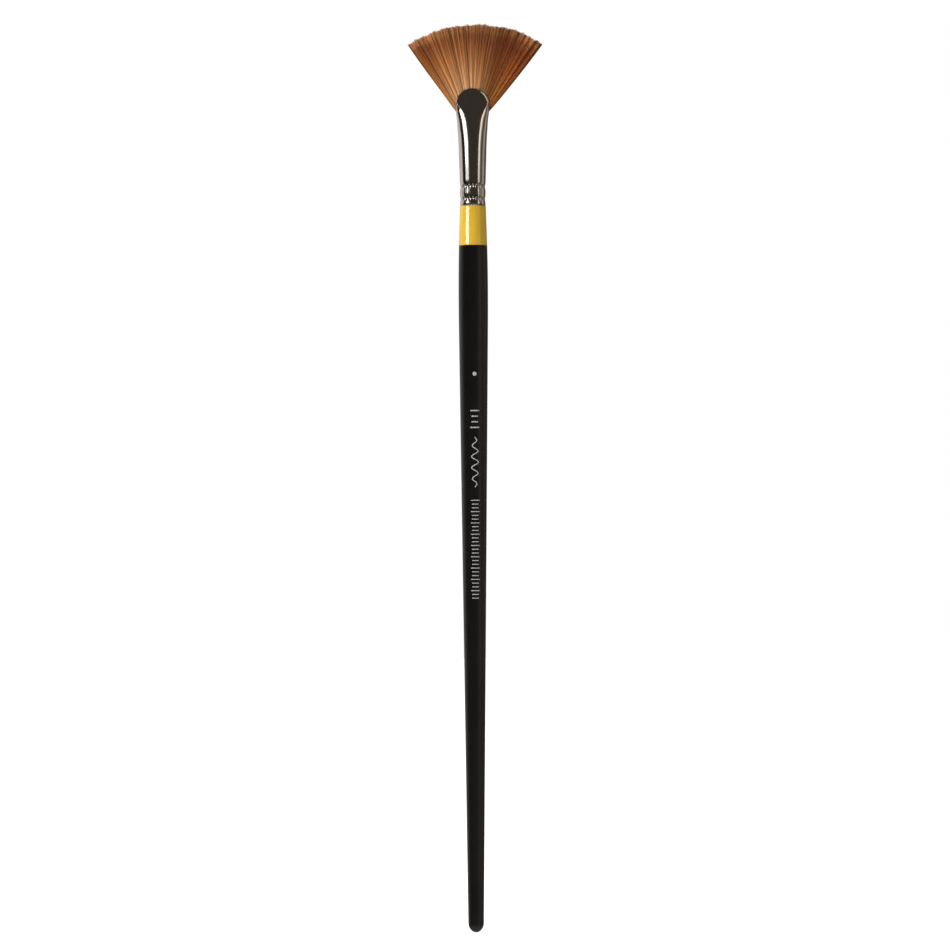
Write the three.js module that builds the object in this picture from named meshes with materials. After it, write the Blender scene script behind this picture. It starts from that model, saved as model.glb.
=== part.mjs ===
// Long-handled artists' fan brush, upright on the end of its handle.
// Millimetres. +Z runs up the brush to the filaments, X across the fan, Y through its thickness.

import * as THREE from 'three';

// Handle: a turned wooden stick under two coats of lacquer, with a tenon that enters the ferrule
const HANDLE_LENGTH = 247.9;
const END_RADIUS = 2.67;
const END_DOME = 3.2;
const TAPER_TOP = 204.0;
const TAPER_TOP_RADIUS = 4.93;
const BELLY_TOP = 236.0;
const NECK_RADIUS = 4.4;
const NECK_SLOPE = -0.031;
const LACQUER_BORDER = 234.3;
const LACQUER = 0.15;
const COAT_GAP = 0.02;
const TENON_LENGTH = 14.5;
const TENON_LEAD = 0.6;
const GLUE_SETBACK = 0.05;
const GLUED_LENGTH = 10.0;
const DOME_STEPS = 5;
const BELLY_STEPS = 6;
const TAPER_SLOPE = (TAPER_TOP_RADIUS - END_RADIUS) / (TAPER_TOP - END_DOME);
const TURNED_SEGMENTS = 24;

// Ferrule: a thin drawn tube, crimped on the tenon and pressed flat towards a round-topped mouth
const WALL = 0.35;
const CRIMP_DEPTH = 0.19;
const HEAD_BASE = 32.7;
const LIP_CENTRE = 34.4;
const LIP_RADIUS = 5.7;
const HEAD_HALF_FLAT = 4.9;
const HEAD_HALF_DEPTH = 1.7;
const FLAT_SEGMENTS = 8;
const SIDE_SEGMENTS = 8;

// Stations up the ferrule, from its rear end: height, half width, half depth, half width of the flat.
// It is round over the tenon and pinched flat only over its last third.
const STATIONS = [
  { z: 0.0, width: 4.36, depth: 4.36, flat: 0.4 },
  { z: 1.4, width: 4.34, depth: 4.34, flat: 0.4 },
  { z: 2.3, width: 4.34 - CRIMP_DEPTH, depth: 4.34 - CRIMP_DEPTH, flat: 0.4 },
  { z: 3.4, width: 4.32, depth: 4.32, flat: 0.4 },
  { z: 5.2, width: 4.34, depth: 4.34, flat: 0.4 },
  { z: 6.5, width: 4.36 - CRIMP_DEPTH, depth: 4.36 - CRIMP_DEPTH, flat: 0.4 },
  { z: 7.9, width: 4.4, depth: 4.4, flat: 0.4 },
  { z: 15.8, width: 4.6, depth: 4.54, flat: 0.4 },
  { z: 20.6, width: 4.74, depth: 4.42, flat: 0.5 },
  { z: 24.1, width: 4.88, depth: 4.12, flat: 0.6 },
  { z: 27.1, width: 5.02, depth: 3.72, flat: 0.7 },
  { z: 29.4, width: 5.18, depth: 3.3, flat: 0.9 },
  { z: 31.4, width: 5.42, depth: 2.76, flat: 1.4 },
  { z: HEAD_BASE, width: LIP_RADIUS, depth: 2.4, flat: 2.1 },
];

// Rows of the round-topped head, each a share of the way from the head's base to the lip
const HEAD_ROWS = [
  { share: 0.2, width: LIP_RADIUS, depth: 2.06, flat: 3.3 },
  { share: 0.4, width: LIP_RADIUS, depth: 1.8, flat: 4.5 },
  { share: 0.6, width: LIP_RADIUS, depth: HEAD_HALF_DEPTH, flat: HEAD_HALF_FLAT },
  { share: 1.0, width: LIP_RADIUS, depth: HEAD_HALF_DEPTH, flat: HEAD_HALF_FLAT },
];

// What the ferrule holds: adhesive round the tenon, epoxy, the thread-bound filament roots
const FIT_GAP = 0.1;
const ADHESIVE = 0.12;
const PLUG_BASE = HANDLE_LENGTH + TENON_LENGTH + 0.4;
const PLUG_HEIGHT = 6.2;
const ROOTS_BASE = PLUG_BASE + PLUG_HEIGHT + 0.3;
const ROOTS_INSET = 0.15;
const ROOTS_LIP_SETBACK = 0.3;
const KNOT_INSET = 0.75;
const KNOT_BASE = ROOTS_BASE + 0.5;
const THREAD_RADIUS = 0.17;
const THREAD_PITCH = 0.4;
const THREAD_TURNS = 4;
const THREAD_STEPS_PER_TURN = 14;
const THREAD_START = 0.3;
const KNOT_HEIGHT = THREAD_TURNS * THREAD_PITCH + 0.8;

// Filaments: a fan of locks that spread from one point on the axis inside the ferrule
const OVERALL_LENGTH = 310.0;
const FAN_APEX = 272.9;
const FAN_RADIUS = OVERALL_LENGTH - FAN_APEX;
const FAN_HALF_ANGLE = THREE.MathUtils.degToRad(37.2);
const LOCK_COUNT = 11;
const LOCK_GAP = 0.12;
const LIP_CLEARANCE = 0.7;
const LOCK_HALF_DEPTHS = [0.8, 0.95, 0.9, 0.7, 0.4];
const LOCK_CHAMFER = 0.35;

const MATERIALS = {
  wood: material('#c9a878', 0.6, 0.0),
  blackLacquer: material('#171714', 0.22, 0.0),
  yellowLacquer: material('#dcaf35', 0.2, 0.0),
  nickel: material('#c9c4bd', 0.16, 1.0),
  adhesive: material('#cfc9b0', 0.4, 0.0),
  epoxy: material('#b98f4a', 0.3, 0.0),
  thread: material('#e8e2d2', 0.8, 0.0),
  filament: material('#8d5229', 0.45, 0.0),
};

function material(color, roughness, metalness) {
  return new THREE.MeshStandardMaterial({ color, roughness, metalness });
}

function named(name, geometry, kind) {
  const mesh = new THREE.Mesh(geometry, kind);
  mesh.name = name;
  return mesh;
}

// Turns [radius, height] points about Z. A profile ends on the axis or comes back to its start.
function turned(profile) {
  const points = profile.map(([radius, height]) => new THREE.Vector2(radius, height));
  const geometry = new THREE.LatheGeometry(points, TURNED_SEGMENTS);
  geometry.rotateX(Math.PI / 2);
  return geometry;
}

// Joins rows of matching points into one closed skin. A ring returns to its first row, and any
// other loft is closed at both ends by fans about the middle of the end row.
function lofted(rows, isRing = false) {
  const count = rows[0].length;
  const positions = rows.flat().flatMap((point) => point.toArray());
  const indices = [];
  const strips = isRing ? rows.length : rows.length - 1;
  for (let row = 0; row < strips; row += 1) {
    const low = row * count;
    const high = ((row + 1) % rows.length) * count;
    for (let i = 0; i < count; i += 1) {
      const next = (i + 1) % count;
      indices.push(low + i, low + next, high + next);
      indices.push(low + i, high + next, high + i);
    }
  }
  if (!isRing) {
    closeEnd(rows[0], 0, positions, indices, true);
    closeEnd(rows.at(-1), (rows.length - 1) * count, positions, indices, false);
  }
  const geometry = new THREE.BufferGeometry();
  geometry.setAttribute('position', new THREE.Float32BufferAttribute(positions, 3));
  geometry.setIndex(indices);
  geometry.computeVertexNormals();
  return geometry;
}

function closeEnd(row, start, positions, indices, isBase) {
  const box = new THREE.Box3().setFromPoints(row);
  const middle = box.getCenter(new THREE.Vector3());
  middle.z = isBase ? box.min.z : box.max.z;
  const hub = positions.length / 3;
  positions.push(...middle.toArray());
  row.forEach((_, i) => {
    const next = (i + 1) % row.length;
    indices.push(hub, start + (isBase ? next : i), start + (isBase ? i : next));
  });
}

// ---- Handle ----

function taperRadius(z) {
  return END_RADIUS + TAPER_SLOPE * (z - END_DOME);
}

function neckRadius(z) {
  return NECK_RADIUS + NECK_SLOPE * (z - HANDLE_LENGTH);
}

// Cubic that leaves the taper and meets the neck with their own slopes, which makes the belly
function bellyRadius(z) {
  const span = BELLY_TOP - TAPER_TOP;
  const t = (z - TAPER_TOP) / span;
  const fromTaper = TAPER_TOP_RADIUS * (1 + 2 * t) + TAPER_SLOPE * span * t;
  const fromNeck = neckRadius(BELLY_TOP) * (3 - 2 * t) + NECK_SLOPE * span * (t - 1);
  return fromTaper * (1 - t) ** 2 + fromNeck * t ** 2;
}

function handleRadius(z) {
  if (z < END_DOME) {
    return END_RADIUS * Math.sqrt(1 - (1 - z / END_DOME) ** 2);
  }
  if (z < TAPER_TOP) {
    return taperRadius(z);
  }
  return z < BELLY_TOP ? bellyRadius(z) : neckRadius(z);
}

// The handle's surface from its end to the lacquer border, moved inwards by some depth
function handleProfile(inset) {
  const points = [[0, inset]];
  for (let step = 1; step <= DOME_STEPS; step += 1) {
    const angle = (Math.PI / 2) * (step / DOME_STEPS);
    const height = END_DOME - (END_DOME - inset) * Math.cos(angle);
    points.push([(END_RADIUS - inset) * Math.sin(angle), height]);
  }
  for (let step = 0; step <= BELLY_STEPS; step += 1) {
    const height = THREE.MathUtils.lerp(TAPER_TOP, LACQUER_BORDER, step / BELLY_STEPS);
    points.push([handleRadius(height) - inset, height]);
  }
  return points;
}

// The round stick that fits inside the ferrule at some height above its rear end
function tenonRadius(height) {
  const section = sectionAt(height);
  return Math.min(section.width, section.depth) - WALL - FIT_GAP - ADHESIVE - COAT_GAP;
}

// The tenon follows the crimps, which are pressed through the ferrule into the wood
function gluedHeights() {
  const stations = STATIONS.map((station) => station.z);
  return [GLUE_SETBACK, ...stations.filter((z) => z > GLUE_SETBACK && z < GLUED_LENGTH)];
}

function handleCore() {
  const inset = LACQUER + COAT_GAP;
  const top = HANDLE_LENGTH + TENON_LENGTH;
  const tip = tenonRadius(TENON_LENGTH);
  const profile = [
    ...handleProfile(inset),
    [neckRadius(HANDLE_LENGTH) - inset, HANDLE_LENGTH - COAT_GAP],
    [tenonRadius(0), HANDLE_LENGTH - COAT_GAP],
    ...gluedHeights().map((z) => [tenonRadius(z), HANDLE_LENGTH + z]),
    [tip, top - TENON_LEAD],
    [tip - TENON_LEAD, top],
    [0, top],
  ];
  return named('handle_core', turned(profile), MATERIALS.wood);
}

function blackLacquer() {
  const outside = handleProfile(0);
  const inside = handleProfile(LACQUER);
  return named('black_lacquer', turned([...outside, ...inside.reverse()]), MATERIALS.blackLacquer);
}

function yellowLacquerBand() {
  const base = LACQUER_BORDER + COAT_GAP;
  const top = HANDLE_LENGTH - COAT_GAP;
  const low = handleRadius(base);
  const high = handleRadius(top);
  const profile = [
    [low, base],
    [high, top],
    [high - LACQUER, top],
    [low - LACQUER, base],
    [low, base],
  ];
  return named('yellow_lacquer_band', turned(profile), MATERIALS.yellowLacquer);
}

// ---- Ferrule and what it holds ----

function sectionAt(z) {
  const above = STATIONS.findIndex((station) => station.z >= z);
  if (above <= 0) {
    return above === 0 ? STATIONS[0] : STATIONS.at(-1);
  }
  const low = STATIONS[above - 1];
  const high = STATIONS[above];
  const t = (z - low.z) / (high.z - low.z);
  const mix = (key) => THREE.MathUtils.lerp(low[key], high[key], t);
  return { z, width: mix('width'), depth: mix('depth'), flat: mix('flat') };
}

// Closed outline of a pressed tube: two flats joined by half ellipses, moved in from the outside
function outline(section, inset) {
  const width = section.width - inset;
  const depth = section.depth - inset;
  const flat = (section.flat * width) / section.width;
  const spread = Math.asin(HEAD_HALF_FLAT / LIP_RADIUS);
  const points = [];
  for (const side of [-1, 1]) {
    for (let i = 0; i < FLAT_SEGMENTS; i += 1) {
      const angle = spread * ((2 * i) / FLAT_SEGMENTS - 1);
      points.push(new THREE.Vector2((-side * flat * Math.sin(angle)) / Math.sin(spread), side * depth));
    }
    for (let i = 0; i < SIDE_SEGMENTS; i += 1) {
      const angle = (Math.PI * i) / SIDE_SEGMENTS;
      const out = flat + (width - flat) * Math.sin(angle);
      points.push(new THREE.Vector2(-side * out, side * depth * Math.cos(angle)));
    }
  }
  return points;
}

function levelRow(z, inset) {
  const height = HANDLE_LENGTH + z;
  return outline(sectionAt(z), inset).map(({ x, y }) => new THREE.Vector3(x, y, height));
}

// The lip is an arc across the brush, so these rows rise towards the middle
function headRows(inset, setback) {
  const radius = LIP_RADIUS - setback;
  return HEAD_ROWS.map((section) => outline(section, inset).map((point) => {
    const rise = Math.sqrt(Math.max(0, radius ** 2 - point.x ** 2));
    const z = THREE.MathUtils.lerp(HEAD_BASE, LIP_CENTRE + rise, section.share);
    return new THREE.Vector3(point.x, point.y, HANDLE_LENGTH + z);
  }));
}

function ferrule() {
  const outside = STATIONS.map((station) => levelRow(station.z, 0)).concat(headRows(0, 0));
  const inside = STATIONS.map((station) => levelRow(station.z, WALL)).concat(headRows(WALL, 0));
  return named('ferrule', lofted([...outside, ...inside.reverse()], true), MATERIALS.nickel);
}

function tenonAdhesive() {
  const sleeve = (spread) => gluedHeights().map((z) => [tenonRadius(z) + spread, HANDLE_LENGTH + z]);
  const inner = sleeve(COAT_GAP);
  const outer = sleeve(COAT_GAP + ADHESIVE);
  const profile = [...outer, ...inner.reverse(), outer[0]];
  return named('tenon_adhesive', turned(profile), MATERIALS.adhesive);
}

function epoxyPlug() {
  const base = PLUG_BASE - HANDLE_LENGTH;
  const top = base + PLUG_HEIGHT;
  const between = STATIONS.map((station) => station.z).filter((z) => z > base && z < top);
  const rows = [base, ...between, top].map((z) => levelRow(z, WALL + FIT_GAP));
  return named('epoxy_plug', lofted(rows), MATERIALS.epoxy);
}

// The roots narrow to a bound knot at their base and fill the ferrule from there to its lip
function filamentRoots() {
  const base = ROOTS_BASE - HANDLE_LENGTH;
  const knotTop = KNOT_BASE + KNOT_HEIGHT - HANDLE_LENGTH;
  const full = WALL + ROOTS_INSET;
  const above = STATIONS.map((station) => station.z).filter((z) => z > knotTop + 1);
  const rows = [
    levelRow(base, full + KNOT_INSET),
    levelRow(knotTop, full + KNOT_INSET),
    levelRow(knotTop + 1, full),
    ...above.map((z) => levelRow(z, full)),
    ...headRows(full, full + ROOTS_LIP_SETBACK),
  ];
  return named('filament_roots', lofted(rows), MATERIALS.filament);
}

// One thread wound in close turns round the knot, between it and the ferrule's wall
function bindingThread() {
  const steps = THREAD_TURNS * THREAD_STEPS_PER_TURN;
  const inset = WALL + ROOTS_INSET + KNOT_INSET - THREAD_RADIUS - FIT_GAP;
  const points = Array.from({ length: steps + 1 }, (_, step) => {
    const turn = step / THREAD_STEPS_PER_TURN;
    const z = KNOT_BASE - HANDLE_LENGTH + THREAD_START + THREAD_PITCH * turn;
    const section = sectionAt(z);
    const angle = 2 * Math.PI * turn;
    const flat = section.flat * THREE.MathUtils.clamp(3 * Math.cos(angle), -1, 1);
    const x = flat + (section.width - section.flat - inset) * Math.cos(angle);
    return new THREE.Vector3(x, (section.depth - inset) * Math.sin(angle), HANDLE_LENGTH + z);
  });
  const route = new THREE.CatmullRomCurve3(points);
  const section = new THREE.Shape().absarc(0, 0, THREAD_RADIUS, 0, 2 * Math.PI);
  const options = { extrudePath: route, steps, curveSegments: 3, bevelEnabled: false };
  return named('binding_thread', new THREE.ExtrudeGeometry(section, options), MATERIALS.thread);
}

// ---- Filaments ----

// Distance from the fan's apex to the clearance round the lip, in a given direction
function lockStart(angle) {
  const offset = HANDLE_LENGTH + LIP_CENTRE - FAN_APEX;
  const radius = LIP_RADIUS + LIP_CLEARANCE;
  return offset * Math.cos(angle) + Math.sqrt(radius ** 2 - (offset * Math.sin(angle)) ** 2);
}

function fanPoint(angle, distance, y) {
  return new THREE.Vector3(distance * Math.sin(angle), y, FAN_APEX + distance * Math.cos(angle));
}

// One lock of filaments: a flat wedge between two rays of the fan, with chamfered long edges
function filamentLock(index) {
  const pitch = (2 * FAN_HALF_ANGLE) / LOCK_COUNT;
  const middle = -FAN_HALF_ANGLE + pitch * (index + 0.5);
  const rows = LOCK_HALF_DEPTHS.map((halfDepth, step) => {
    const share = step / (LOCK_HALF_DEPTHS.length - 1);
    const reach = (angle) => THREE.MathUtils.lerp(lockStart(angle), FAN_RADIUS, share);
    const edge = pitch / 2 - LOCK_GAP / 2 / reach(middle);
    const inner = edge - Math.min(LOCK_CHAMFER / reach(middle), edge / 3);
    const shoulder = halfDepth - Math.min(LOCK_CHAMFER, halfDepth / 2);
    const corners = [
      [-inner, -halfDepth], [0, -halfDepth], [inner, -halfDepth], [edge, -shoulder],
      [edge, shoulder], [inner, halfDepth], [0, halfDepth], [-inner, halfDepth],
      [-edge, shoulder], [-edge, -shoulder],
    ];
    return corners.map(([turn, y]) => fanPoint(middle + turn, reach(middle + turn), y));
  });
  const name = `filament_lock_${String(index + 1).padStart(2, '0')}`;
  return named(name, lofted(rows), MATERIALS.filament);
}

// ---- The whole brush ----

const handle = new THREE.Group();
handle.add(handleCore(), blackLacquer(), yellowLacquerBand());

const head = new THREE.Group();
head.add(ferrule(), tenonAdhesive(), epoxyPlug(), filamentRoots(), bindingThread());

const fan = new THREE.Group();
for (let index = 0; index < LOCK_COUNT; index += 1) {
  fan.add(filamentLock(index));
}

const brush = new THREE.Group();
brush.add(handle, head, fan);

export default brush;
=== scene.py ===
"""Artists' fan brush: lacquers, plated ferrule and filaments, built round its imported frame.

Shapes are worked out in millimetres and turned to metres as they become meshes.
+Z runs up the brush to the filaments, X across the fan, Y through its thickness.
"""

import math

import bpy
import numpy as np
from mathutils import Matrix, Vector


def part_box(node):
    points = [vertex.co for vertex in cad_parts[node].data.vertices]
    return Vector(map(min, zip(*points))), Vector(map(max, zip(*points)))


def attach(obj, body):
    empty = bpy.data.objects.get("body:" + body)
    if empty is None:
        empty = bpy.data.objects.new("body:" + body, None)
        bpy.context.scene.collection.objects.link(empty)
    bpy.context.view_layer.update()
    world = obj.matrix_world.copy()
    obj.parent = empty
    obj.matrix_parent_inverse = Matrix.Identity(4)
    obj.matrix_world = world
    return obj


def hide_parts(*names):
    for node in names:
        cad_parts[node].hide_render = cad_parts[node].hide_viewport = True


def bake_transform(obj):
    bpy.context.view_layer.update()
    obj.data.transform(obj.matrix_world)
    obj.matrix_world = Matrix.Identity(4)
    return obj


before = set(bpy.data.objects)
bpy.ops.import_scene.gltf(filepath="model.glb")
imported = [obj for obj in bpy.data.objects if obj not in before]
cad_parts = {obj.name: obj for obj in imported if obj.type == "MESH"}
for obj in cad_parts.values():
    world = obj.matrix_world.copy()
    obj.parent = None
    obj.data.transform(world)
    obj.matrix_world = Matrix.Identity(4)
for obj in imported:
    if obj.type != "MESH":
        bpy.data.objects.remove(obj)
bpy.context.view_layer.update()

MM = 0.001


def lowest(node):
    """Height of a CAD node's lowest point, in millimetres."""
    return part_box(node)[0][2] / MM


def highest(node, axis=2):
    """Highest coordinate of a CAD node along an axis, in millimetres."""
    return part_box(node)[1][axis] / MM


# Handle
HANDLE_TOP = lowest("ferrule")
LACQUER_BORDER = highest("black_lacquer")
END_RADIUS = 2.67
END_DOME = 3.2
TAPER_TOP = 204.0
TAPER_TOP_RADIUS = 4.93
BELLY_TOP = 236.0
NECK_RADIUS = 4.4
NECK_SLOPE = -0.031
LACQUER = 0.15
COAT_GAP = 0.03
EDGE_ROLL = 0.06
DIP_RIDGE = 0.03
DIP_RIDGE_HEIGHT = 0.25
FINE_STRETCH = 2.0
YELLOW_SWELL = 0.02
YELLOW_SWELL_HEIGHT = 0.35
TURNED_COLUMNS = 128

# Printed ornament on the -Y side of the handle. An ink value is the width of the line.
PRINT_OFFSET = 0.35
INK_HEIGHT = 0.02
INK_SINK = 0.01
DOT_CENTRE = 190.5
DOT_RADIUS = 0.36
DOT_INK = 0.7
BAR_TOP = 178.0
BAR_STEP = 1.9
BAR_HALF_WIDTHS = (1.55, 1.1, 1.1, 1.55)
BAR_INK = 0.42
WAVE_TOP = 169.0
WAVE_LENGTH = 17.0
WAVE_HALF_WIDTH = 1.2
HALF_WAVES = 9
WAVE_INK = 0.32
LADDER_TOP = 147.5
LADDER_STEP = 1.28
LADDER_RUNGS = 27
RUNG_HALF_WIDTHS = (1.5, 1.15, 1.15)
RUNG_INK = 0.3

# Ferrule: height above its rear end, half width, half depth, half width of the flat
FERRULE_STATIONS = np.array([
    (0.0, 4.36, 4.36, 0.3),
    (4.4, 4.36, 4.36, 0.3),
    (7.9, 4.40, 4.40, 0.3),
    (15.8, 4.62, 4.54, 0.4),
    (20.6, 4.76, 4.42, 0.5),
    (24.1, 4.92, 4.12, 0.6),
    (27.1, 5.14, 3.72, 0.75),
    (29.4, 5.28, 3.30, 1.1),
    (31.4, 5.56, 2.76, 1.85),
    (32.7, 5.70, 2.40, 3.0),
    (33.9, 5.76, 2.08, 4.5),
    (35.2, 5.78, 1.82, 5.5),
    (36.8, 5.78, 1.70, 5.6),
    (40.1, 5.78, 1.70, 5.6),
])
WALL = 0.35
CRIMP_HEIGHTS = (2.3, 6.5)
CRIMP_HALF_HEIGHT = 1.0
CRIMP_DEPTH = 0.2
SERRATIONS = 22
SERRATION_HALF_HEIGHT = 0.5
SERRATION_DEPTH = 0.13
BEAD_CENTRE = 4.3
BEAD_HALF_HEIGHT = 4.2
BEAD_DEPTH = 0.035
REAR_TUCK = 0.2
REAR_TUCK_HEIGHT = 0.8
LIP_BEVEL = 0.7
LIP_BEVEL_SLOPE = 0.58
LIP_BEVEL_START = 0.35
LEAST_BEVEL = 0.25
CRIMPED_TOP = 8.4
PLAIN_BASE = 8.8
HEAD_BASE = 30.5
HEAD_TOP = 41.0
LIP_CENTRE = 34.4
LIP_RADIUS = 5.7 - WALL / 2
SIDE_DIP = 2.1
SIDE_DIP_START = 58.0
SIDE_DIP_SPREAD = 24.0
FLAT_COLUMNS = 24
SIDE_COLUMNS = 96

# Filaments: a fan from one point on the axis. Angles are in degrees from the middle.
# A pair of lists is a curve: the places, and the value at each.
OVERALL_LENGTH = highest("filament_lock_06")
FAN_APEX = 272.9
FAN_RADIUS = OVERALL_LENGTH - FAN_APEX
FAN_HALF_ANGLE = 37.9
FAN_LEAN = 1.2
FAN_CURL = 0.014
FAN_HALF_DEPTHS = ([5.0, 10.0, 14.0, 20.0, 28.0, 37.1], [0.9, 0.9, 1.04, 1.0, 0.8, 0.52])
FAN_SIDE_THINNING = 0.38
TIP_OFFSETS = ([-38, -30, 0, 10, 20, 30, 38], [0.5, 0.15, 0, 0.4, 1.0, 1.45, 1.8])
MOUTH_CORNER = 280.2
MOUTH_HALF_WIDTH = 5.12
MOUTH_FLARE = 1.7
MOUTH_GAP = 0.1
LOCK_COUNT = 11
CLUMPS_PER_LOCK = 5
FILAMENTS_PER_CLUMP = 112
CLUMP_OVERLAP = 0.58
TIP_UNEVENNESS = (-0.6, 0.1)
SHADE_SPREAD = 0.2
SWAY_SPREAD = 0.22
GROUND_SHARE = 0.24
GROUND_OVERLAP = 0.52
GROUND_DEPTH = 0.6
GROUND_SHORTNESS = 0.45
GROUND_SHADE = 0.1
SHORT_SHARE = 0.14
SHORT_BY = (0.6, 5.0)
FILAMENT_RADIUS = 0.06
TIP_SHARE = 0.1
FILAMENT_STEPS = 13
FILAMENT_SIDES = 4
FIRST_TINTED_RADIUS = 15.0
ROOT_HEIGHT = 278.4
# Where the pale tips, the painted light through the thin sides and the dark rim start, and how far
# they spread, as shares of a filament or of the way to the side.
# The stronger streaks on the right are in degrees.
PALE_START = 0.905
PALE_SPREAD = 0.085
EDGE_START = 0.86
RIM_START = 0.97
RIM_SPREAD = 0.018
RIM_SHADE = 0.5
RIGHT_CONTRAST = 0.8
RIGHT_START = 4.0
RIGHT_SPREAD = 20.0
SEED = 41

# Filament roots inside the ferrule
ROOT_COUNT = 420
ROOT_RADIUS = 0.15
ROOT_STEPS = 12
ROOT_GAP = 0.32
ROOT_BASE_GAP = 0.2
ROOT_TOPS = ([0, 0.5, 0.9, 1.0], [286.6, 285.6, 282.4, 280.6])
TIE_DEPTH = 0.55
TIE_HEIGHT = 1.5
TIE_HALF_HEIGHT = 1.2

# Binding thread
THREAD_RADIUS = 0.17
THREAD_WINDS = 4
STEPS_PER_WIND = 60
PLY_RADIUS = 0.085
PLY_REACH = 0.075
PLY_TWISTS_PER_WIND = 14
PLY_SIDES = 8

# Camera, in metres
VIEW_WIDTH = 0.3243
CAMERA_DISTANCE = 1.0
CAMERA_ACROSS = 0.0003
CAMERA_HEIGHT = 0.1561
CAMERA_ROLL = math.radians(0.26)
FLOOR_HALF_WIDTH = 1.5
FLOOR_DROP = 0.0002

scene = bpy.context.scene


# ---- Meshes ----

def smooth(value):
    """Smoothstep of a value clipped to 0..1."""
    t = np.clip(value, 0.0, 1.0)
    return t * t * (3 - 2 * t)


def make_mesh(name, points, faces):
    """A smooth-shaded object from points in millimetres."""
    mesh = bpy.data.meshes.new(name)
    mesh.from_pydata((np.asarray(points) * MM).tolist(), [], faces)
    mesh.validate()
    mesh.shade_smooth()
    piece = bpy.data.objects.new(name, mesh)
    scene.collection.objects.link(piece)
    return piece


def skin(rows, closed=False):
    """Points and faces of a skin over rows of matching closed outlines.

    Closed, the last row joins the first, as on a sleeve. Otherwise the first and the last
    row are closed by fans about their middles.
    """
    rows = np.asarray(rows, float)
    count, columns = rows.shape[:2]
    points = rows.reshape(-1, 3).tolist()
    faces = []
    for row in range(count if closed else count - 1):
        low = row * columns
        high = ((row + 1) % count) * columns
        for i in range(columns):
            j = (i + 1) % columns
            faces.append((low + i, low + j, high + j, high + i))
    if not closed:
        for row, turn in ((0, -1), (count - 1, 1)):
            hub = len(points)
            points.append(rows[row].mean(axis=0).tolist())
            start = row * columns
            for i in range(columns):
                j = (i + 1) % columns
                faces.append((hub, start + i, start + j)[::turn])
    return points, faces


def turned_rows(profile):
    """Rows of an outline turned about Z: profile is a list of (radius, height)."""
    angle = np.arange(TURNED_COLUMNS) * 2 * math.pi / TURNED_COLUMNS
    rows = []
    for radius, z in profile:
        height = np.full(TURNED_COLUMNS, z)
        rows.append(np.stack([radius * np.cos(angle), radius * np.sin(angle), height], axis=1))
    return rows


def finish_piece(piece, body, slot, material, *nodes):
    """Gives a piece its material, and lets it ride on a body in the place of CAD nodes. Slot is not used.
    """
    piece.data.materials.append(material)
    if nodes:
        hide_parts(*nodes)
    if body:
        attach(piece, body)
    return piece


# ---- Shader nodes ----

def add_node(tree, kind, inputs=None, **settings):
    """Adds a shader node, sets its properties, and sets or joins its inputs."""
    node = tree.nodes.new(kind)
    for key, value in settings.items():
        setattr(node, key, value)
    for key, value in (inputs or {}).items():
        if isinstance(value, bpy.types.NodeSocket):
            tree.links.new(value, node.inputs[key])
        else:
            node.inputs[key].default_value = value
    return node


def new_material(name, roughness, **sockets):
    """A principled material and its tree and shader. Sockets are named with _ for a space."""
    material = bpy.data.materials.new(name)
    material.use_nodes = True
    tree = material.node_tree
    shader = tree.nodes["Principled BSDF"]
    shader.inputs["Roughness"].default_value = roughness
    for key, value in sockets.items():
        shader.inputs[key.replace("_", " ")].default_value = value
    return material, tree, shader


def noise(tree, scale, detail=3.0, stretch=None, distortion=0.0):
    """Noise in the object's own space: scale is per metre, stretch scales each axis."""
    place = add_node(tree, "ShaderNodeTexCoord").outputs["Object"]
    if stretch:
        place = add_node(tree, "ShaderNodeMapping", {"Vector": place, "Scale": stretch}).outputs[0]
    node = add_node(tree, "ShaderNodeTexNoise",
                    {"Vector": place, "Scale": scale, "Detail": detail, "Distortion": distortion})
    return node.outputs["Fac"]


def ramp(tree, factor, stops):
    """A colour ramp: stops are (position, (r, g, b))."""
    node = add_node(tree, "ShaderNodeValToRGB", {"Fac": factor})
    band = node.color_ramp
    while len(band.elements) < len(stops):
        band.elements.new(0.5)
    for element, (position, colour) in zip(band.elements, stops):
        element.position = position
        element.color = (*colour, 1.0)
    return node.outputs["Color"]


def remap(tree, value, low, high):
    """Maps 0..1 to low..high."""
    return add_node(tree, "ShaderNodeMapRange", {"Value": value, "To Min": low, "To Max": high}).outputs[0]


def mixed(tree, factor, first, second, blend="MIX"):
    """Mixes two colours."""
    node = add_node(tree, "ShaderNodeMix", data_type="RGBA", blend_type=blend)
    for key, value in ((0, factor), (6, first), (7, second)):
        if isinstance(value, bpy.types.NodeSocket):
            tree.links.new(value, node.inputs[key])
        elif key == 0:
            node.inputs[key].default_value = value
        else:
            node.inputs[key].default_value = (*value, 1.0)
    return node.outputs[2]


def bump(tree, shader, height, distance, strength=1.0, under=None):
    """Raises the surface by a height map. Distance is in metres."""
    inputs = {"Height": height, "Distance": distance, "Strength": strength}
    if under is not None:
        inputs["Normal"] = under
    normal = add_node(tree, "ShaderNodeBump", inputs).outputs["Normal"]
    tree.links.new(normal, shader.inputs["Normal"])
    return normal


def feed(tree, socket, value):
    """Joins a socket to a value made by other nodes."""
    tree.links.new(value, socket)


# ---- Materials ----

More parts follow.
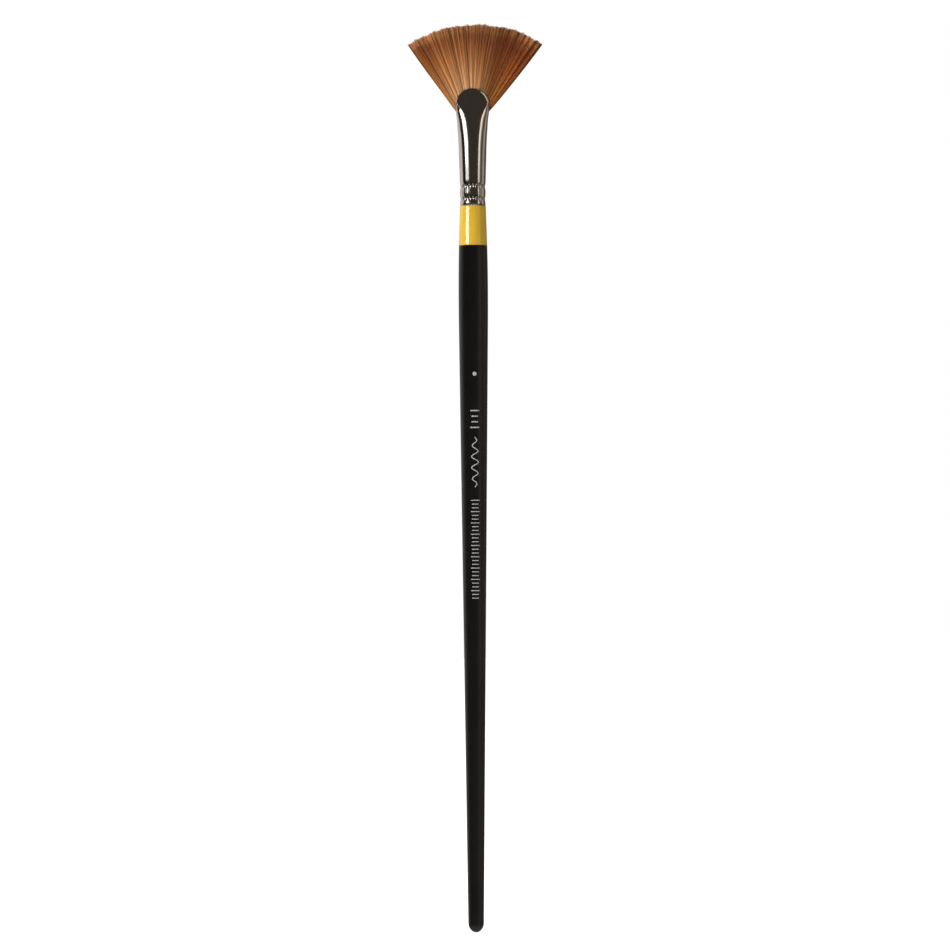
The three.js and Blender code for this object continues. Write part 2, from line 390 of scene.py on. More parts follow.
def black_lacquer_material():
    """Thin satin black lacquer over wood: faint ripple, fine dust and slightly worn gloss."""
    material, tree, shader = new_material("black_lacquer_finish", 0.25, Specular_IOR_Level=0.5)
    clouds = noise(tree, 90.0, 4.0)
    colour = ramp(tree, clouds, [(0.3, (0.0082, 0.0082, 0.0080)), (0.7, (0.0112, 0.0110, 0.0104))])
    feed(tree, shader.inputs["Base Color"], colour)
    feed(tree, shader.inputs["Roughness"], remap(tree, noise(tree, 420.0, 5.0), 0.33, 0.45))
    ripple = bump(tree, shader, noise(tree, 260.0, 2.0, (1.0, 1.0, 0.25)), 0.00003, 0.5)
    bump(tree, shader, noise(tree, 5200.0, 2.0), 0.000003, 0.6, ripple)
    return material


def yellow_lacquer_material():
    """Glossy warm yellow lacquer."""
    material, tree, shader = new_material("yellow_lacquer_finish", 0.1, Specular_IOR_Level=0.5)
    streaks = noise(tree, 300.0, 3.0, (1.0, 1.0, 0.2))
    colour = ramp(tree, streaks, [(0.3, (0.66, 0.40, 0.035)), (0.7, (0.72, 0.46, 0.048))])
    feed(tree, shader.inputs["Base Color"], colour)
    feed(tree, shader.inputs["Roughness"], remap(tree, noise(tree, 700.0, 4.0), 0.06, 0.13))
    ripple = bump(tree, shader, noise(tree, 330.0, 2.0, (1.0, 1.0, 0.3)), 0.00002, 0.5)
    bump(tree, shader, noise(tree, 4200.0, 2.0), 0.000002, 0.5, ripple)
    return material


def nickel_material():
    """Bright nickel plate on drawn brass: die lines up the tube, soft waviness and light tarnish."""
    material, tree, shader = new_material("nickel_plate", 0.1, Metallic=1.0)
    stain = noise(tree, 240.0, 5.0, distortion=0.4)
    colour = ramp(tree, stain, [(0.35, (0.73, 0.69, 0.65)), (0.75, (0.66, 0.61, 0.56))])
    feed(tree, shader.inputs["Base Color"], colour)
    wear = noise(tree, 900.0, 6.0, (1.0, 1.0, 0.15))
    feed(tree, shader.inputs["Roughness"], remap(tree, wear, 0.10, 0.20))
    waves = bump(tree, shader, noise(tree, 330.0, 2.0, (1.0, 1.0, 0.35)), 0.00004, 0.25)
    bump(tree, shader, noise(tree, 6000.0, 3.0, (1.0, 1.0, 0.02)), 0.000004, 0.35, waves)
    return material


def wood_material():
    """Bare hardwood with grain along the handle."""
    material, tree, shader = new_material("bare_hardwood", 0.6)
    place = add_node(tree, "ShaderNodeTexCoord").outputs["Object"]
    place = add_node(tree, "ShaderNodeMapping", {"Vector": place, "Scale": (1.0, 1.0, 0.04)}).outputs[0]
    rings = add_node(tree, "ShaderNodeTexWave",
                     {"Vector": place, "Scale": 500.0, "Distortion": 6.0, "Detail": 3.0}).outputs["Fac"]
    colour = ramp(tree, rings, [(0.0, (0.62, 0.44, 0.26)), (1.0, (0.76, 0.60, 0.40))])
    feed(tree, shader.inputs["Base Color"], colour)
    bump(tree, shader, rings, 0.00002, 0.4)
    return material


def cured_material(name, dark, light, roughness):
    """A cured glue or resin: cloudy, with fine bubbles."""
    material, tree, shader = new_material(name, roughness)
    colour = ramp(tree, noise(tree, 500.0, 5.0), [(0.3, dark), (0.7, light)])
    feed(tree, shader.inputs["Base Color"], colour)
    bump(tree, shader, noise(tree, 2500.0, 3.0), 0.00002, 0.4)
    return material


def thread_material():
    """White cotton thread with a fuzzy twist."""
    material, tree, shader = new_material("cotton_thread", 0.85, Sheen_Weight=0.3)
    fuzz = noise(tree, 9000.0, 4.0, (1.0, 1.0, 0.4))
    colour = ramp(tree, fuzz, [(0.3, (0.62, 0.57, 0.46)), (0.7, (0.84, 0.80, 0.70))])
    feed(tree, shader.inputs["Base Color"], colour)
    bump(tree, shader, fuzz, 0.00002, 0.6)
    return material


def ink_material():
    """Pale grey printing ink, thin and slightly uneven."""
    material, tree, shader = new_material("grey_ink", 0.5, Specular_IOR_Level=0.3)
    cover = noise(tree, 3500.0, 5.0)
    colour = ramp(tree, cover, [(0.3, (0.32, 0.32, 0.31)), (0.65, (0.52, 0.52, 0.50))])
    feed(tree, shader.inputs["Base Color"], colour)
    bump(tree, shader, cover, 0.000004, 0.5)
    return material


def value_of(tree, name):
    """A number stored on the mesh's points."""
    return add_node(tree, "ShaderNodeAttribute", attribute_name=name).outputs["Fac"]


def filament_material():
    """Dyed synthetic filaments: pale at the ferrule, partly dye and partly painted light, deep chestnut
    above, blond at the very tip.

    A painted sheen makes the fan palest left of its middle, and painted shade makes it deep and red on its
    right.
    """
    material, tree, shader = new_material("dyed_filament", 0.5, Specular_IOR_Level=0.2)
    along = value_of(tree, "along")
    turned = value_of(tree, "turned")
    # Paler towards the ferrule: partly the dye and partly painted light.
    body = ramp(tree, along, [
        (0.0, (0.57, 0.295, 0.13)),
        (0.22, (0.53, 0.24, 0.088)),
        (0.5, (0.41, 0.157, 0.046)),
        (0.78, (0.26, 0.085, 0.023)),
        (0.95, (0.24, 0.078, 0.021)),
    ])
    # More orange towards the fan's sides: painted light shining through the thin sides of the fan.
    side = ramp(tree, along, [
        (0.0, (0.54, 0.20, 0.03)),
        (0.5, (0.40, 0.14, 0.027)),
        (0.95, (0.29, 0.10, 0.030)),
    ])
    # Painted light across the fan: a pale painted sheen left of the middle, and deep red painted shade on
    # the right.
    low_painted_sheen_and_shade = ramp(tree, turned, [
        (0.0, (0.98, 0.90, 0.75)),
        (0.22, (1.02, 1.02, 1.0)),
        (0.38, (1.42, 1.65, 1.85)),
        (0.5, (1.28, 1.42, 1.55)),
        (0.63, (0.98, 0.9, 0.76)),
        (0.76, (0.56, 0.38, 0.17)),
        (1.0, (0.60, 0.42, 0.18)),
    ])
    high_painted_sheen_and_shade = ramp(tree, turned, [
        (0.0, (1.1, 0.92, 0.72)),
        (0.22, (1.2, 1.1, 0.95)),
        (0.38, (1.22, 1.15, 1.05)),
        (0.5, (1.0, 0.9, 0.8)),
        (0.63, (0.9, 0.74, 0.58)),
        (0.76, (0.86, 0.57, 0.30)),
        (1.0, (0.92, 0.60, 0.33)),
    ])
    colour = mixed(tree, value_of(tree, "edge"), body, side)
    colour = mixed(tree, 1.0, colour, mixed(tree, along, low_painted_sheen_and_shade, high_painted_sheen_and_shade), "MULTIPLY")
    colour = mixed(tree, value_of(tree, "pale"), colour, (0.94, 0.46, 0.18))
    tone = ramp(tree, value_of(tree, "shade"), [
        (0.0, (0.30, 0.24, 0.20)),
        (0.25, (0.66, 0.62, 0.58)),
        (0.5, (1.0, 1.0, 1.0)),
        (1.0, (1.65, 1.7, 1.8)),
    ])
    colour = mixed(tree, 1.0, colour, tone, "MULTIPLY")
    feed(tree, shader.inputs["Base Color"], colour)
    sheen = noise(tree, 3000.0, 2.0, (1.0, 1.0, 0.1))
    feed(tree, shader.inputs["Roughness"], remap(tree, sheen, 0.42, 0.6))
    return material


# ---- Handle ----

def handle_radius(z):
    """Radius of the lacquered handle: end dome, long taper, belly, neck."""
    z = np.asarray(z, float)
    slope = (TAPER_TOP_RADIUS - END_RADIUS) / (TAPER_TOP - END_DOME)
    dome = END_RADIUS * np.sqrt(np.clip(1 - (1 - np.minimum(z, END_DOME) / END_DOME) ** 2, 0, 1))
    taper = END_RADIUS + slope * (z - END_DOME)
    neck = NECK_RADIUS + NECK_SLOPE * (z - HANDLE_TOP)
    span = BELLY_TOP - TAPER_TOP
    t = np.clip((z - TAPER_TOP) / span, 0, 1)
    belly_end = NECK_RADIUS + NECK_SLOPE * (BELLY_TOP - HANDLE_TOP)
    from_taper = TAPER_TOP_RADIUS * (1 + 2 * t) + slope * span * t
    from_neck = belly_end * (3 - 2 * t) - NECK_SLOPE * span * (1 - t)
    belly = from_taper * (1 - t) ** 2 + from_neck * t ** 2
    return np.select([z < END_DOME, z < TAPER_TOP, z < BELLY_TOP], [dome, taper, belly], neck)


def rolled_edge(radius, height, inner, upward, steps=6):
    """Profile of a rounded coat edge, from the outer face over to the inner radius."""
    sign = 1 if upward else -1
    profile = []
    for k in range(steps + 1):
        turn = k / steps * math.pi / 2
        inward = EDGE_ROLL * (1 - math.cos(turn))
        drop = sign * EDGE_ROLL * (1 - math.sin(turn))
        profile.append((radius - inward, height - drop))
    profile.append((inner, height))
    return profile


def build_black_coat(material):
    """The dipped black coat, a shell open at its upper border, where it stands a little proud."""
    fine_base = LACQUER_BORDER - FINE_STRETCH
    heights = [END_DOME * (1 - math.cos(a)) for a in np.linspace(0.06, math.pi / 2, 22)]
    heights += list(np.linspace(END_DOME, fine_base, 150)[1:])
    heights += list(np.linspace(fine_base, LACQUER_BORDER - EDGE_ROLL, 24)[1:-1])
    outer = []
    for z in heights:
        ridge = DIP_RIDGE * math.exp(-((z - LACQUER_BORDER) / DIP_RIDGE_HEIGHT) ** 2)
        outer.append((float(handle_radius(z)) + ridge, z))
    rim = float(handle_radius(LACQUER_BORDER)) + DIP_RIDGE
    edge = rolled_edge(rim, LACQUER_BORDER, rim - LACQUER - DIP_RIDGE, True)
    inner = []
    for z in reversed(heights[6::5]):
        inner.append((float(handle_radius(z)) - LACQUER, z + LACQUER * (z < END_DOME)))
    points, faces = skin(turned_rows(outer + edge + inner))
    piece = make_mesh("black_coat", points, faces)
    return finish_piece(piece, "handle", "black_lacquer", material, "black_lacquer")


def build_yellow_coat(material):
    """The yellow coat, a sleeve between the black coat and the ferrule."""
    low = LACQUER_BORDER + COAT_GAP
    high = HANDLE_TOP - COAT_GAP
    outer = []
    for z in np.linspace(low + EDGE_ROLL, high - EDGE_ROLL, 40):
        swell = YELLOW_SWELL * math.exp(-((z - low) / YELLOW_SWELL_HEIGHT) ** 2)
        outer.append((float(handle_radius(z)) + swell, z))
    top_radius = float(handle_radius(high))
    low_radius = float(handle_radius(low))
    top = rolled_edge(top_radius, high, top_radius - LACQUER, True)
    bottom = rolled_edge(low_radius + YELLOW_SWELL, low, low_radius - LACQUER, False)[::-1]
    points, faces = skin(turned_rows(bottom + outer + top), closed=True)
    piece = make_mesh("yellow_coat", points, faces)
    finish_piece(piece, "handle", "yellow_lacquer", material, "yellow_lacquer_band")


# ---- Printed ornament ----

def stroke(path, width):
    """One raised ink line laid on the handle. Path is a list of (across, up) in millimetres."""
    path = np.asarray(path, float)
    along = np.gradient(path, axis=0)
    along /= np.linalg.norm(along, axis=1)[:, None]
    side = np.stack([-along[:, 1], along[:, 0]], axis=1) * width / 2
    rows = []
    for centre, offset in zip(path, side):
        row = []
        for sign, lift in ((-1, -INK_SINK), (1, -INK_SINK), (1, INK_HEIGHT), (-1, INK_HEIGHT)):
            across, up = centre + sign * offset
            radius = float(handle_radius(up))
            turn = (across + PRINT_OFFSET) / radius
            reach = radius + lift
            row.append((reach * math.sin(turn), -reach * math.cos(turn), up))
        rows.append(row)
    return skin(rows)


def cross_bar(half, up):
    """Path of a short bar across the handle."""
    across = np.linspace(-half, half, 17)
    return np.stack([across, np.full(across.shape, up)], axis=1)


def ornament_paths():
    """Plain marks in the place of the lettering, each with its ink: a dot, bars, a wave, a ladder."""
    turn = np.linspace(0, 2 * math.pi, 33)
    dot = np.stack([DOT_RADIUS * np.cos(turn), DOT_CENTRE + DOT_RADIUS * np.sin(turn)], axis=1)
    paths = [(dot, DOT_INK)]
    for k, half in enumerate(BAR_HALF_WIDTHS):
        paths.append((cross_bar(half, BAR_TOP - BAR_STEP * k), BAR_INK))
    t = np.linspace(0, 1, 97)
    swing = WAVE_HALF_WIDTH * np.sin(t * HALF_WAVES * math.pi) * np.sin(t * math.pi) ** 0.4
    paths.append((np.stack([swing, WAVE_TOP - WAVE_LENGTH * t], axis=1), WAVE_INK))
    for k in range(LADDER_RUNGS):
        paths.append((cross_bar(RUNG_HALF_WIDTHS[k % 3], LADDER_TOP - LADDER_STEP * k), RUNG_INK))
    return paths


def build_print(material):
    """All the ink marks as one thin raised piece."""
    points = []
    faces = []
    for path, width in ornament_paths():
        more_points, more_faces = stroke(path, width)
        start = len(points)
        points += more_points
        faces += [tuple(start + i for i in face) for face in more_faces]
    finish_piece(make_mesh("printed_marks", points, faces), "handle", "black_lacquer", material)


# ---- Ferrule ----

def through_stations(column, z):
    """Smooth curve through one column of the stations, at heights z above the ferrule's rear."""
    heights = FERRULE_STATIONS[:, 0]
    values = FERRULE_STATIONS[:, column]
    slopes = np.gradient(values, heights)
    z = np.clip(z, heights[0], heights[-1])
    i = np.clip(np.searchsorted(heights, z, side="right") - 1, 0, len(heights) - 2)
    h = heights[i + 1] - heights[i]
    t = (z - heights[i]) / h
    return (values[i] * (1 + 2 * t) * (1 - t) ** 2 + slopes[i] * h * t * (1 - t) ** 2
            + values[i + 1] * t ** 2 * (3 - 2 * t) - slopes[i + 1] * h * t ** 2 * (1 - t))


def section_columns():
    """Columns round the ferrule: each one's share across the flat, and its turn round the sides."""
    flat = np.linspace(-1, 1, FLAT_COLUMNS, endpoint=False)
    turn = np.linspace(0, math.pi, SIDE_COLUMNS, endpoint=False)
    share = np.concatenate([flat, np.ones(SIDE_COLUMNS), -flat, -np.ones(SIDE_COLUMNS)])
    angle = np.concatenate([np.zeros(FLAT_COLUMNS), turn, np.full(FLAT_COLUMNS, math.pi), turn + math.pi])
    return share, angle


def lip_drop(x, z):
    """How far the metal is pressed in at its round lip: a soft bevel, deepest on the +X side."""
    share = np.clip(1 - (LIP_RADIUS - np.hypot(x, z - LIP_CENTRE)) / LIP_BEVEL, 0, 1)
    start = LIP_BEVEL_START
    drop = np.where(share < start, share ** 2 / (2 * start), share - start / 2)
    uneven = LEAST_BEVEL + (1 - LEAST_BEVEL) * smooth(x / LIP_RADIUS + 0.4)
    return LIP_BEVEL * LIP_BEVEL_SLOPE * drop * uneven * smooth(z - LIP_CENTRE + 1.0)


def ferrule_outline(z, inset=0.0, is_outer=True):
    """Points of the ferrule's section, one for each column, at heights z above its rear end."""
    share, angle = section_columns()
    z = np.broadcast_to(np.asarray(z, float), share.shape)
    groove = sum(np.exp(-((z - height) / CRIMP_HALF_HEIGHT) ** 2) for height in CRIMP_HEIGHTS)
    inset = inset + CRIMP_DEPTH * groove
    if is_outer:
        inset = inset + REAR_TUCK * np.clip(1 - z / REAR_TUCK_HEIGHT, 0, 1) ** 2
    width = through_stations(1, z) - inset
    flat = through_stations(3, z)
    x = share * flat + (width - flat) * np.sin(angle)
    depth = through_stations(2, z) - inset - lip_drop(x, z) * (1.0 if is_outer else 0.5)
    y = -depth * np.cos(angle)
    if is_outer:
        teeth = sum(np.exp(-((z - height) / SERRATION_HALF_HEIGHT) ** 2) for height in CRIMP_HEIGHTS)
        reach = np.hypot(x, y)
        wave = 0.5 + 0.5 * np.cos(SERRATIONS * np.arctan2(x, -y))
        bead = smooth(2 - np.abs(z - BEAD_CENTRE) / BEAD_HALF_HEIGHT * 2)
        scale = 1 - (SERRATION_DEPTH * teeth * wave ** 1.5 + BEAD_DEPTH * bead * wave) / reach
        x = x * scale
        y = y * scale
    return np.stack([x, y, z], axis=1)


def lip_heights():
    """Height of the mouth's edge on each column: a round-topped cut, open down both sides."""
    share, angle = section_columns()
    low = np.full(share.shape, HEAD_BASE)
    high = np.full(share.shape, HEAD_TOP)
    lean = np.degrees(np.abs(np.arcsin(np.clip(np.sin(angle), -1, 1))))
    dip = SIDE_DIP * smooth((lean - SIDE_DIP_START) / SIDE_DIP_SPREAD)
    for _ in range(40):
        z = (low + high) / 2
        x = np.abs(ferrule_outline(z)[:, 0])
        target = LIP_CENTRE + np.sqrt(np.clip(LIP_RADIUS ** 2 - x ** 2, 0, None)) - dip
        low = np.where(z < target, z, low)
        high = np.where(z < target, high, z)
    return (low + high) / 2


def rolled_rim(outer, inner, upward, steps=8):
    """Rows over a rounded metal edge, from the outer face to the inner one."""
    middle = (outer + inner) / 2
    out = (outer - inner) / 2
    edge = np.roll(outer, -1, axis=0) - np.roll(outer, 1, axis=0)
    up = np.cross(edge, out)
    up /= np.linalg.norm(up, axis=1)[:, None]
    up *= np.where((up[:, 2] > 0) == upward, 1.0, -1.0)[:, None] * WALL / 2
    rows = []
    for k in range(1, steps):
        turn = k / steps * math.pi
        rows.append(middle + out * math.cos(turn) + up * math.sin(turn))
    return rows


def build_ferrule(material):
    """The drawn and pressed tube, as one closed shell with a rolled lip and a rolled rear edge."""
    lip = lip_heights()
    crimped = np.linspace(WALL / 2, CRIMPED_TOP, 112)
    tube = np.concatenate([crimped, np.linspace(PLAIN_BASE, HEAD_BASE, 52)])
    head = [HEAD_BASE + (lip - HEAD_BASE) * share for share in np.linspace(0, 1, 44)[1:]]
    outer = [ferrule_outline(z) for z in list(tube) + head]
    inner = [ferrule_outline(z, WALL, False) for z in head[::-3] + list(tube[::-4])]
    inner.append(ferrule_outline(tube[0], WALL, False))
    rows = outer + rolled_rim(outer[-1], inner[0], True) + inner
    rows += rolled_rim(outer[0], inner[-1], False)[::-1]
    rows = np.array(rows)
    rows[:, :, 2] += HANDLE_TOP
    points, faces = skin(rows, closed=True)
    piece = make_mesh("ferrule_shell", points, faces)
    return finish_piece(piece, "handle", "nickel", material, "ferrule")


# ---- Filaments ----

def tubes(paths, radii):
    """Closed tubes along many paths at once. Paths is (tubes, steps, 3), radii is (tubes, steps)."""
    count, steps = paths.shape[:2]
    sides = FILAMENT_SIDES
    along = np.gradient(paths, axis=1)
    along /= np.linalg.norm(along, axis=2)[:, :, None]
    across = np.cross(along, (0.0, 1.0, 0.0))
    across /= np.linalg.norm(across, axis=2)[:, :, None]
    other = np.cross(along, across)
    rings = []
    for k in range(sides):
        turn = 2 * math.pi * (k + 0.5) / sides
        rings.append(paths + radii[:, :, None] * (across * math.cos(turn) + other * math.sin(turn)))
    points = np.stack(rings, axis=2).reshape(-1, 3)
    start = np.arange(count)[:, None, None] * steps * sides
    step = np.arange(steps - 1)[None, :, None] * sides
    side = np.arange(sides)[None, None, :]
    following = (side + 1) % sides
    base = start + step
    walls = np.stack([base + side, base + following, base + following + sides, base + side + sides], axis=3)
    first = start[:, :, 0] + np.arange(sides)[None, ::-1]
    last = start[:, :, 0] + (steps - 1) * sides + np.arange(sides)[None, :]
    return points, np.concatenate([walls.reshape(-1, 4), first, last])


def quad_mesh(name, points, quads):
    """A large smooth-shaded mesh of four-sided faces, from points in millimetres."""
    mesh = bpy.data.meshes.new(name)
    mesh.vertices.add(len(points))
    mesh.vertices.foreach_set("co", (points * MM).astype(np.float32).ravel())
    mesh.loops.add(quads.size)
    mesh.loops.foreach_set("vertex_index", quads.astype(np.int32).ravel())
    mesh.polygons.add(len(quads))
    mesh.polygons.foreach_set("loop_start", np.arange(0, quads.size, 4, dtype=np.int32))
    mesh.update(calc_edges=True)
    mesh.validate()
    mesh.shade_smooth()
    piece = bpy.data.objects.new(name, mesh)
    scene.collection.objects.link(piece)
    return piece


def store(piece, name, values):
    """Keeps one number for each point of a mesh, for its material to read."""
    attribute = piece.data.attributes.new(name, "FLOAT", "POINT")
    attribute.data.foreach_set("value", np.ascontiguousarray(values, dtype=np.float32).ravel())


def fan_half_depth(radius, sideways):
    """Half thickness of the fan at a distance from its apex. It is thinner towards its sides."""
    return np.interp(radius, *FAN_HALF_DEPTHS) * (1 - FAN_SIDE_THINNING * sideways ** 2)


def fan_reach(degrees):
    """Distance of the filaments' tips from the apex: the fan is longest at its +X corner."""
    return FAN_RADIUS + np.interp(degrees, *TIP_OFFSETS)


def random_streaks(rng, spacing, spread):
    """A shade that varies across the fan: heights of a random line, one each spacing degrees."""
    degrees = np.arange(-FAN_HALF_ANGLE, FAN_HALF_ANGLE + spacing, spacing)
    return degrees, rng.normal(0, spread, len(degrees))


def streak_shade(streaks, degrees):
    """Sum of several random lines at given degrees from the middle of the fan."""
    return sum(np.interp(degrees, *line) for line in streaks)


def draw_clumps(rng, lock_centre, clump_angle):
    """Random values of one lock's clumps: angle, length, shade, how tightly they gather, depth."""
    middle = (CLUMPS_PER_LOCK - 1) / 2
    centre = lock_centre + (np.arange(CLUMPS_PER_LOCK) - middle) * clump_angle
    return {
        "centre": centre + rng.uniform(-0.12, 0.12, CLUMPS_PER_LOCK) * clump_angle,
        "reach": rng.uniform(-0.5, 0.12, CLUMPS_PER_LOCK),
        "shade": rng.normal(0, 0.05, CLUMPS_PER_LOCK),
        "grip": rng.uniform(0.05, 0.4, CLUMPS_PER_LOCK),
        "depth": rng.uniform(-0.12, 0.12, CLUMPS_PER_LOCK),
    }


def draw_filaments(rng, lock_centre, lock_angle):
    """Random values of one lock's filaments. Each is in a clump, or in the even ground behind."""
    clump_angle = lock_angle / CLUMPS_PER_LOCK
    clumps = draw_clumps(rng, lock_centre, clump_angle)
    count = CLUMPS_PER_LOCK * FILAMENTS_PER_CLUMP
    own = {name: np.repeat(values, FILAMENTS_PER_CLUMP) for name, values in clumps.items()}

    is_ground = rng.random(count) < GROUND_SHARE
    ground_centre = lock_centre + rng.uniform(-GROUND_OVERLAP, GROUND_OVERLAP, count) * lock_angle
    clump_offset = rng.uniform(-CLUMP_OVERLAP, CLUMP_OVERLAP, count) * clump_angle
    offset = np.where(is_ground, ground_centre - own["centre"], clump_offset)
    layer = rng.uniform(-1, 1, count) * np.where(is_ground, GROUND_DEPTH, 1.0)
    reach = fan_reach(own["centre"] + offset) + rng.uniform(*TIP_UNEVENNESS, count)
    reach = reach + np.where(is_ground, -GROUND_SHORTNESS, own["reach"])
    is_short = rng.random(count) < SHORT_SHARE
    reach = reach - is_short * rng.uniform(*SHORT_BY, count)
    shade = 0.5 + own["shade"] + rng.normal(0, SHADE_SPREAD, count) - GROUND_SHADE * is_ground
    sway = rng.normal(0, SWAY_SPREAD, count)
    grip = np.where(is_ground, 0, own["grip"] * smooth(np.abs(layer) * 1.6 - 0.4))
    values = {
        "centre": own["centre"],
        "offset": offset,
        "reach": reach,
        "shade": shade,
        "sway": sway,
        "grip": grip,
        "layer": layer,
        "depth": own["depth"],
    }
    return {name: value[:, None] for name, value in values.items()}


def filament_paths(drawn, t):
    """Paths of one lock's filaments, and their angle and distance from the apex along the way."""
    gathered = drawn["offset"] * (1 - drawn["grip"] * smooth(t * 1.1 - 0.1))
    degrees = np.clip(drawn["centre"] + gathered, -FAN_HALF_ANGLE, FAN_HALF_ANGLE)
    degrees = degrees + drawn["sway"] * t ** 2 * (1 - t)
    turn = np.radians(degrees * (1 - FAN_CURL * t ** 3) + FAN_LEAN * smooth(t * 2.5))
    first = (ROOT_HEIGHT - FAN_APEX) / np.cos(turn[:, :1])
    radius = first + (drawn["reach"] - first) * t ** 1.15
    thickness = fan_half_depth(radius, np.abs(degrees) / FAN_HALF_ANGLE)
    x = radius * np.sin(turn)
    y = (drawn["layer"] + drawn["depth"]) * thickness
    z = FAN_APEX + radius * np.cos(turn)
    inside = through_stations(1, z - HANDLE_TOP) - WALL - MOUTH_GAP
    above = MOUTH_HALF_WIDTH + (z - MOUTH_CORNER) * MOUTH_FLARE
    x = np.sign(x) * np.minimum(np.abs(x), np.where(z < MOUTH_CORNER, inside, above))
    return np.stack([x, y, z], axis=2), degrees, radius


def filament_values(rng, drawn, t, degrees, radius, streaks):
    """Numbers that the filaments' material reads at each point."""
    low_streaks, high_streaks = streaks
    sideways = np.abs(degrees) / FAN_HALF_ANGLE
    along = np.clip((radius - FIRST_TINTED_RADIUS) / (FAN_RADIUS - FIRST_TINTED_RADIUS), 0, 1)
    corner = 0.78 + 0.22 * smooth((sideways - 0.5) / 0.4)
    low_shade = streak_shade(low_streaks, degrees)
    high_shade = streak_shade(high_streaks, degrees)
    contrast = 1 + RIGHT_CONTRAST * smooth((degrees - RIGHT_START) / RIGHT_SPREAD)
    streak = (low_shade + (high_shade - low_shade) * along) * contrast
    left_rim = 0.3 + 0.7 * smooth(along * 2)
    rim = RIM_SHADE * smooth((sideways - RIM_START) / RIM_SPREAD) * np.where(degrees > 0, 1.0, left_rim)
    pale = smooth((t - PALE_START) / PALE_SPREAD) * corner * rng.uniform(0.65, 1.0, (len(degrees), 1))
    return {
        "along": along,
        "turned": (degrees / FAN_HALF_ANGLE + 1) / 2,
        "shade": np.clip(drawn["shade"] + streak - rim, 0, 1),
        "edge": smooth((sideways - EDGE_START) / (1 - EDGE_START)),
        "pale": pale,
    }


def build_lock(index, rng, streaks, material):
    """One lock of the fan: some hundreds of fine tapered filaments in a few narrow clumps."""
    lock_angle = 2 * FAN_HALF_ANGLE / LOCK_COUNT
    lock_centre = -FAN_HALF_ANGLE + (index + 0.5) * lock_angle
    drawn = draw_filaments(rng, lock_centre, lock_angle)
    t = np.linspace(0, 1, FILAMENT_STEPS)[None, :]
    paths, degrees, radius = filament_paths(drawn, t)
    taper = 1 - 0.5 * smooth((t - 1 + TIP_SHARE) / TIP_SHARE)
    radii = FILAMENT_RADIUS * taper * rng.uniform(0.85, 1.15, (len(paths), 1))
    values = filament_values(rng, drawn, t, degrees, radius, streaks)
    piece = quad_mesh(f"filaments_{index + 1:02d}", *tubes(paths, radii))
    for name, value in values.items():
        store(piece, name, np.repeat(value.reshape(-1), FILAMENT_SIDES))
    finish_piece(piece, None, "filament", material, f"filament_lock_{index + 1:02d}")
    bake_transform(piece)


def build_locks(material):
    """The fan's eleven locks, with streaks that run across them all, finer towards the tips."""
    rng = np.random.default_rng(SEED)
    low_fine = random_streaks(rng, spacing=0.6, spread=0.17)
    low_broad = random_streaks(rng, spacing=3.0, spread=0.03)
    high_fine = random_streaks(rng, spacing=0.36, spread=0.2)
    high_broad = random_streaks(rng, spacing=1.6, spread=0.03)
    streaks = ([low_fine, low_broad], [high_fine, high_broad])
    for index in range(LOCK_COUNT):
        build_lock(index, rng, streaks, material)


def build_roots(material):
    """The filaments' roots inside the ferrule, tied at their base and spread to fill the mouth."""
    rng = np.random.default_rng(SEED + 1)
    place = np.sqrt(rng.random(ROOT_COUNT))
    turn = rng.uniform(0, 2 * math.pi, ROOT_COUNT)
    u = (place * np.cos(turn))[:, None]
    v = (place * np.sin(turn))[:, None]
    base = lowest("filament_roots")
    top = np.interp(np.abs(u[:, 0]), *ROOT_TOPS)
    t = np.linspace(0, 1, ROOT_STEPS)[None, :]
    z = base + ROOT_BASE_GAP + (top[:, None] - base - ROOT_BASE_GAP) * t
    tied = TIE_DEPTH * np.exp(-((z - base - TIE_HEIGHT) / TIE_HALF_HEIGHT) ** 2)
    width = through_stations(1, z - HANDLE_TOP) - WALL - ROOT_GAP - tied
    depth = through_stations(2, z - HANDLE_TOP) - WALL - ROOT_GAP - tied
    paths = np.stack([u * width, v * depth, z], axis=2)
    piece = quad_mesh("root_bundle", *tubes(paths, np.full(paths.shape[:2], ROOT_RADIUS)))
    points_each = ROOT_STEPS * FILAMENT_SIDES
    store(piece, "shade", np.repeat(rng.normal(0.4, 0.1, ROOT_COUNT), points_each))
    store(piece, "turned", np.full(ROOT_COUNT * points_each, 0.5))
    finish_piece(piece, "handle", "filament", material, "filament_roots")


def ply_tubes(paths):
    """Closed tubes for the thread's plies, along paths that run nearly level."""
    count, steps = paths.shape[:2]
    along = np.gradient(paths, axis=1)
    along /= np.linalg.norm(along, axis=2)[:, :, None]
    across = np.cross(along, (0.0, 0.0, 1.0))
    across /= np.linalg.norm(across, axis=2)[:, :, None]
    other = np.cross(along, across)
    rings = []
    for k in range(PLY_SIDES):
        turn = 2 * math.pi * k / PLY_SIDES
        rings.append(paths + PLY_RADIUS * (across * math.cos(turn) + other * math.sin(turn)))
    points = np.stack(rings, axis=2).reshape(-1, 3)
    quads = []
    for ply in range(count):
        first = ply * steps * PLY_SIDES
        last = first + (steps - 1) * PLY_SIDES
        for low in range(first, last, PLY_SIDES):
            for k in range(PLY_SIDES):
                j = (k + 1) % PLY_SIDES
                quads.append((low + k, low + j, low + j + PLY_SIDES, low + k + PLY_SIDES))
        for order in ((7, 6, 5, 4), (7, 4, 3, 0), (3, 2, 1, 0)):
            quads.append(tuple(first + k for k in order))
            quads.append(tuple(last + k for k in order[::-1]))
    return points, np.array(quads)


